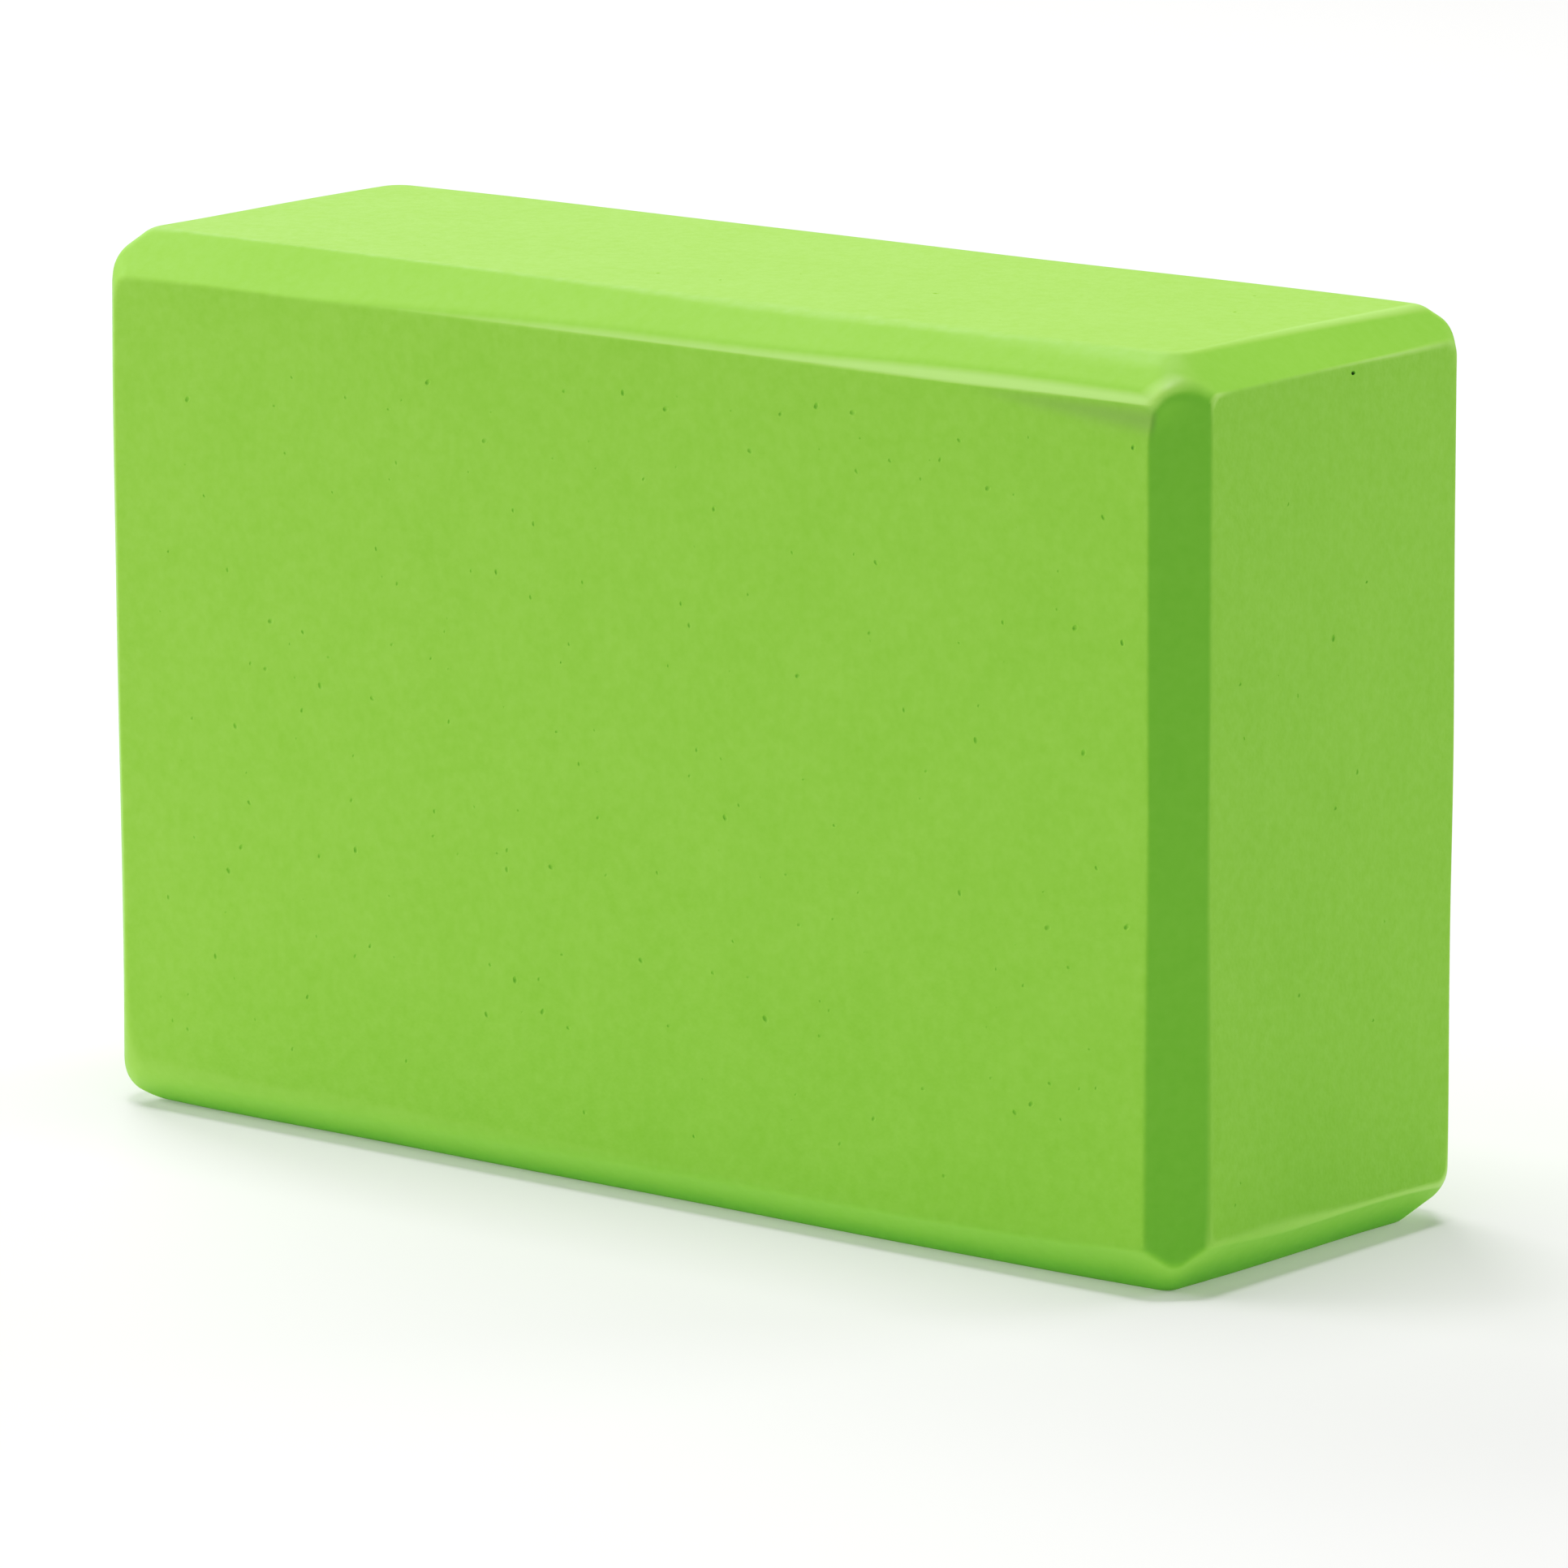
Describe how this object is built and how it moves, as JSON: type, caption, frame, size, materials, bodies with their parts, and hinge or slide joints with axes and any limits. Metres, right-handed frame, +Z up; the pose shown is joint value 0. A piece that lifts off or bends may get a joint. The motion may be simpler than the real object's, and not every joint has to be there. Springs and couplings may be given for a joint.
{
  "type": "yoga block",
  "caption": "Solid closed-cell foam yoga block: a brick with bevelled edges and dulled corners that supports hands, feet or hips at the height of whichever face it rests on.",
  "frame": {"origin": "centre of the long narrow face that the block stands on, as it stands in the picture", "axes": "+X along the block's length, +Y through its thickness away from the front broad face, +Z up along its height"},
  "size_m": [0.23, 0.078, 0.15],
  "materials": {
    "eva_foam": "matte skived closed-cell EVA foam"
  },
  "bodies": {
    "root": {"foam_block": "eva_foam"}
  },
  "joints": []
}
